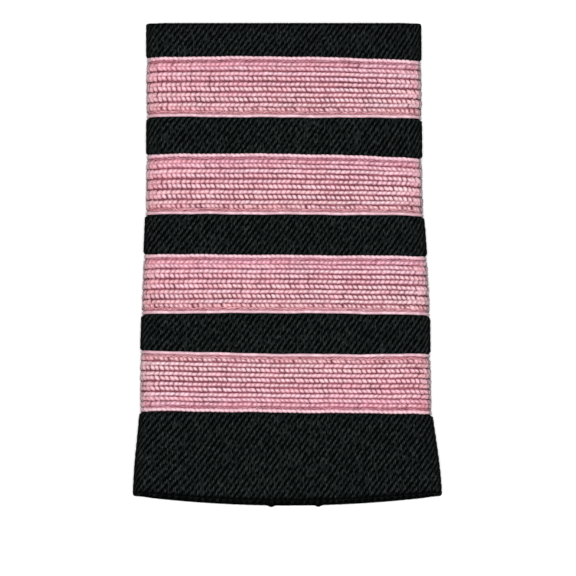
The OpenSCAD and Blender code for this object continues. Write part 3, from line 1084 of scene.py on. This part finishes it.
def stitch_shape(name, sides, levels, square, lean=0.0):
    """A closed dome one unit long, wide and high that stands for one plump stitch.

    Its outline is an ellipse squared up by a power under 1, and it leans along its length.
    """
    angle = (np.arange(sides) + 0.5) * 2 * math.pi / sides
    along = np.sign(np.cos(angle)) * np.abs(np.cos(angle)) ** square / 2
    aside = np.sign(np.sin(angle)) * np.abs(np.sin(angle)) ** square / 2
    outline = np.stack((along + lean * aside, aside), axis=1).tolist()
    points = [(radius * x, radius * y, high) for radius, high in levels for x, y in outline]
    points.append((0, 0, 1))
    faces = []
    for level in range(len(levels) - 1):
        for k in range(sides):
            a = level * sides + k
            b = level * sides + (k + 1) % sides
            faces.append((a, b, b + sides, a + sides))
    top = (len(levels) - 1) * sides
    faces += [(top + k, top + (k + 1) % sides, len(points) - 1) for k in range(sides)]
    faces.append(tuple(range(sides - 1, -1, -1)))
    made = mesh_object(name, points, faces=faces, unit=1)
    set_attribute(made.data, "crown", [point[2] for point in points])
    set_uv(made.data, "yarn", [points[loop.vertex_index][:2] for loop in made.data.loops])
    return made


def wander(i, shares, edge):
    """How far an edge of a braid strays down the sleeve along its length.

    Two waves of unlike lengths start at another place for each edge of each braid.
    """
    place = np.asarray(shares) * 2 * COLLAR_W / WANDER_LENGTH * 2 * math.pi
    phase = 1.7 * i + 2.3 * edge
    return WANDER * (np.sin(place + phase) + 0.6 * np.sin(2.3 * place + 2 * phase)) / 1.6


def braid_place(i, across, shares, lift):
    """Points of a braid's surface, a share of the way across it and lifted off the cloth."""
    braid = BRAIDS[i]
    at = braid_top(i) + across * BRAID_W
    drops = [mix(braid[1 + k], braid[3 + k], across) * BRAID_W for k in (0, 1)]
    points, out, side, girth = ring(at, shares, drops)
    from_seam = girth * np.minimum(shares, 1 - shares)
    sink = END_SINK * (1 - smooth_step(0, END_SINK_W, from_seam))
    points = points + out * (BRAID_GAP + lift - sink)[:, None]
    points[:, 1] -= mix(wander(i, shares, 0), wander(i, shares, 1), across)
    return points, out, side


def braid_girth(i):
    """The way round the sleeve along the middle of a braid."""
    return girth_at(braid_top(i) + BRAID_W / 2)


def braid_shares(count, start=0.0):
    """Places round the sleeve from one end of a braid to the other."""
    girth = girth_at(LENGTH / 2)
    end = END_GAP / girth
    return np.linspace(end + start / girth, 1 - end, count)


def path_object(name, paths):
    """Paths as a mesh of edges, whose points carry what the stitches on them need."""
    edges = []
    start = 0
    for path in paths:
        count = len(path["points"])
        edges += [(start + k, start + k + 1) for k in range(count - 1)]
        start += count
    joined = {field: np.concatenate([path[field] for path in paths]) for field in paths[0]}
    made = mesh_object(name, joined.pop("points"), edges=edges)
    for field, values in joined.items():
        set_attribute(made.data, field, values)
    return made


def fold_shade(side):
    """How much painted shade darkens the yarn near a fold, from the middle's 0 to 1."""
    edge_darkening = np.where(side < 0, *FOLD_EDGE_SHADE) * smooth_step(*FOLD_EDGE_SHADE_SIDE, np.abs(side))
    return np.maximum(edge_darkening, FOLD_BAND_SHADE * smooth_step(*FOLD_BAND_SHADE_SIDE, np.abs(side)))


def closing(i, side):
    """How much the rows of a braid close up in pairs, from the left fold to the right one."""
    table = np.array(CLOSING)
    side = -side if TURNED[i] else side
    closed = np.interp(side, table[:, 0], table[:, 1])
    return closed * np.where(closed > 0, *CLOSING_SHARES[i])


def dye(i, across, rosy, side):
    """What the dye leaves of the yarn's red, green and blue along a row, in uneven patches.

    The patches are two waves of unlike lengths, which start at another place for each row.
    """
    side = -side if TURNED[i] else side
    phase = 2.1 * i + 37 * across
    patches = np.sin(8 * side + phase) + 0.7 * np.sin(19 * side + 2.3 * phase)
    rose = rosy - ROSE_DRIFT * side + ROSE_PATCHES * patches
    kept = 1 - rose[:, None] * ROSE
    kept[:, 2] += MAUVE * (1 - 2 * across) + MAUVE / 2 * np.sin(6 * side + 3.1 * phase)
    return kept


def stitch_path(i, row):
    """The path of one row of stitches round the sleeve."""
    own_across, length, width, height, slant, start, pale, rosy = ROWS[row]
    across = 1 - own_across if TURNED[i] else own_across
    lift = EDGE_T * EDGE_LIFT if row == 0 else GROUND_T - STITCH_SINK
    shares = braid_shares(ROW_POINTS, start * STITCH_PITCH)
    points, out, side = braid_place(i, across, shares, lift)

    # Odd rows are ridges and close up downwards, even ones are beads and close up upwards,
    # and the edge's own stitches stay where they are
    down = 1 if row % 2 else -1
    if row == 0:
        down = 0
    closed = closing(i, side)
    points[:, 1] -= CLOSE_BY * (closed - EVEN_AT) * (-down if TURNED[i] else down)
    closed = np.abs(closed) * abs(down)
    steep = np.radians(slant + down * CLOSE_SLANT * closed)

    pressed = FOLD_PRESS * smooth_step(*FOLD_PRESS_SIDE, np.abs(side))
    points += out * (PRESS_LIFT * height * pressed)[:, None]
    lying = BACK_PRESS * np.clip(-out[:, 2], 0, 1)
    lengths = length * (1 + PRESS_WIDEN * pressed)
    widths = width * (1 + CLOSE_WIDEN * closed + PRESS_WIDEN * pressed)
    heights = height * (1 - pressed) * (1 - lying)
    more = FOLD_STRAY * smooth_step(*FOLD_STRAY_SIDE, np.abs(side))
    return {
        "points": points,
        "out": out,
        "size": np.stack((lengths, widths, heights), axis=1) * MM,
        "slant": steep,
        "stray": LOOSE_ROWS.get(row, 1.0) + more,
        "pale": np.full(len(side), pale),
        "fold": fold_shade(side),
        "dye": dye(i, own_across, rosy, side),
    }


def thread_path(i, row):
    """The path of loose threads in the strip between an edge and the rows."""
    own_across, length, width, height, slant, pale, rosy = THREAD_ROWS[row]
    across = 1 - own_across if TURNED[i] else own_across
    shares = braid_shares(THREAD_POINTS, THREAD_START * row)
    points, out, side = braid_place(i, across, shares, GROUND_T - THREAD_SINK)
    return {
        "points": points,
        "out": out,
        "size": np.tile((length * MM, width * MM, height * MM), (len(side), 1)),
        "slant": np.full(len(side), math.radians(slant)),
        "stray": np.ones(len(side)),
        "pale": np.full(len(side), pale),
        "fold": fold_shade(side),
        "dye": dye(i, own_across, rosy, side),
    }


def cord_path(i):
    """The path of the smooth cord along the edge that has no beads."""
    across = 1 - CORD_AT if TURNED[i] else CORD_AT
    points, out, side = braid_place(i, across, braid_shares(BAND_POINTS), CORD_R)
    return {"points": points, "out": out, "fold": fold_shade(side)}


def ground_mesh(i):
    """The woven ground of a braid: a closed band that starts and ends at the back seam."""
    shares = braid_shares(BAND_POINTS)
    flat = [(across, GROUND_T) for across in np.linspace(*GROUND_FLAT, FLAT_POINTS)]
    far_edge = [(1 - across, lift) for across, lift in reversed(GROUND_EDGE)]
    loop = [*GROUND_EDGE, *flat, *far_edge, *GROUND_UNDERSIDE]
    places = [braid_place(i, across, shares, lift) for across, lift in loop]
    points = np.stack([place[0] for place in places], axis=1)
    folds = np.stack([fold_shade(place[2]) for place in places], axis=1)
    columns, count = points.shape[:2]
    number = np.arange(columns * count).reshape(columns, count)
    here = number[:-1]
    below = number[1:]
    faces = (here, below, np.roll(below, -1, axis=1), np.roll(here, -1, axis=1))
    faces = np.stack(faces, axis=2).reshape(-1, 4).tolist()
    faces.append(number[0].tolist())
    faces.append(number[-1][::-1].tolist())
    band = mesh_object(f"braid_{i + 1}_ground", points.reshape(-1, 3), faces=faces)
    set_attribute(band.data, "fold", folds.ravel())
    return band


def sewn(name, shape, paths, count, strays, seed, material):
    """Stitches of one shape along paths, as one piece."""
    size_stray, turn_stray, place_stray = strays
    values = {
        "Stitch": shape,
        "Count": count,
        "Size stray": size_stray,
        "Turn stray": math.radians(turn_stray),
        "Place stray": place_stray * MM,
        "Seed": seed,
        "Material": material,
    }
    return grown(name, path_object(name + "_guide", paths), stitches, values)


# Pieces
yarn = braid_yarn()
ground = braid_ground()
edge_cord = selvedge_yarn()
twill = black_twill()

rib_sizes = {"Depth": RIB_DEPTH * MM, "Unevenness": RIB_UNEVEN, "Material": twill}
sleeve = grown("sleeve_cloth", sleeve_mesh(), rib_tree(), rib_sizes)
outward(sleeve)
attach(sleeve, "root")
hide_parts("sleeve")

stitches = stitch_tree()
cords = cord_tree()
ridge = stitch_shape("ridge_shape", STITCH_SIDES, PLUMP, STITCH_SQUARE, RIDGE_LEAN)
bead = stitch_shape("bead_shape", STITCH_SIDES, PLUMP, STITCH_SQUARE, BEAD_LEAN)
plain = stitch_shape("plain_shape", EDGE_SIDES, PLUMP, ROUND_SQUARE)
thread = stitch_shape("thread_shape", THREAD_SIDES, THIN, ROUND_SQUARE)
cord_sizes = {
    "Radius": CORD_R * MM,
    "Step": CORD_STEP * MM,
    "Lumps": CORD_LUMPS * MM,
    "Material": edge_cord,
}
girth = girth_at(LENGTH / 2)
thread_count = round(girth / THREAD_PITCH)
for i in range(len(BRAIDS)):
    name = f"braid_{i + 1}"
    band = ground_mesh(i)
    band.data.materials.append(ground)
    outward(band)
    stitch_count = round(braid_girth(i) / STITCH_PITCH)
    ridge_paths = [stitch_path(i, row) for row in range(1, len(ROWS), 2)]
    bead_paths = [stitch_path(i, row) for row in range(2, len(ROWS), 2)]
    edge_paths = [stitch_path(i, 0)]
    thread_paths = [thread_path(i, row) for row in range(len(THREAD_ROWS))]
    # Columns: name, shape, paths, stitches to a path, strays, seed, material
    kinds = (
        ("_ridges", ridge, ridge_paths, stitch_count, RIDGE_STRAYS, 1, yarn),
        ("_beads", bead, bead_paths, stitch_count, BEAD_STRAYS, 2, yarn),
        ("_beaded_edge", plain, edge_paths, stitch_count, EDGE_STRAYS, 20, edge_cord),
        ("_threads", thread, thread_paths, thread_count, THREAD_STRAYS, 40, yarn),
    )
    trims = [
        sewn(name + kind, shape, paths, count, strays, 100 * (i + 1) + seed, material)
        for kind, shape, paths, count, strays, seed, material in kinds
    ]
    guide = path_object("cord_guide", [cord_path(i)])
    trims.append(grown(name + "_smooth_edge", guide, cords, cord_sizes))
    for piece in (band, *trims):
        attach(piece, "root")
    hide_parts(name)
    flat = (BRAID_W * MM, (braid_girth(i) - 2 * END_GAP) * MM)
for shape in (ridge, bead, plain, thread):
    bpy.data.objects.remove(shape)

# Floor, light and camera, in metres
FLOOR_HALF = 1.5
corners = [(x * FLOOR_HALF, y * FLOOR_HALF, 0) for x, y in ((-1, -1), (1, -1), (1, 1), (-1, 1))]
floor = mesh_object("floor", corners, faces=[(0, 1, 2, 3)], unit=1)
floor.data.materials.append(pale_floor())


def area_light(name, place, size, power):
    """A square soft light that looks at the middle of the slide."""
    data = bpy.data.lights.new(name, "AREA")
    data.size = size
    data.energy = power
    light = placed(name, data)
    light.location = place
    light.rotation_euler = (-Vector(place)).to_track_quat("-Z", "Y").to_euler()


area_light("key", (-0.01, -0.20, 1.18), 0.4, 17)
area_light("fill", (0.45, 0.55, 0.95), 0.9, 1.5)

world = bpy.data.worlds.new("studio")
bpy.context.scene.world = world
world.use_nodes = True
world.node_tree.nodes.clear()
sky = add(world.node_tree, "ShaderNodeBackground", {"Color": (1, 1, 1, 1), "Strength": 0.3})
add(world.node_tree, "ShaderNodeOutputWorld", {"Surface": sky})

# The camera looks down from the shoulder end's side, 80 degrees above the floor
ELEVATION = math.radians(80)
DISTANCE = 0.99
AIM = Vector((0.0001, -0.0056, 0.005))
camera_data = bpy.data.cameras.new("camera")
camera_data.lens = 300
camera_data.sensor_width = 36
camera = placed("camera", camera_data)
camera.location = AIM + DISTANCE * Vector((0, -math.cos(ELEVATION), math.sin(ELEVATION)))
camera.rotation_euler = (AIM - camera.location).to_track_quat("-Z", "Y").to_euler()
bpy.context.scene.camera = camera
bpy.context.scene.view_settings.view_transform = "Standard"
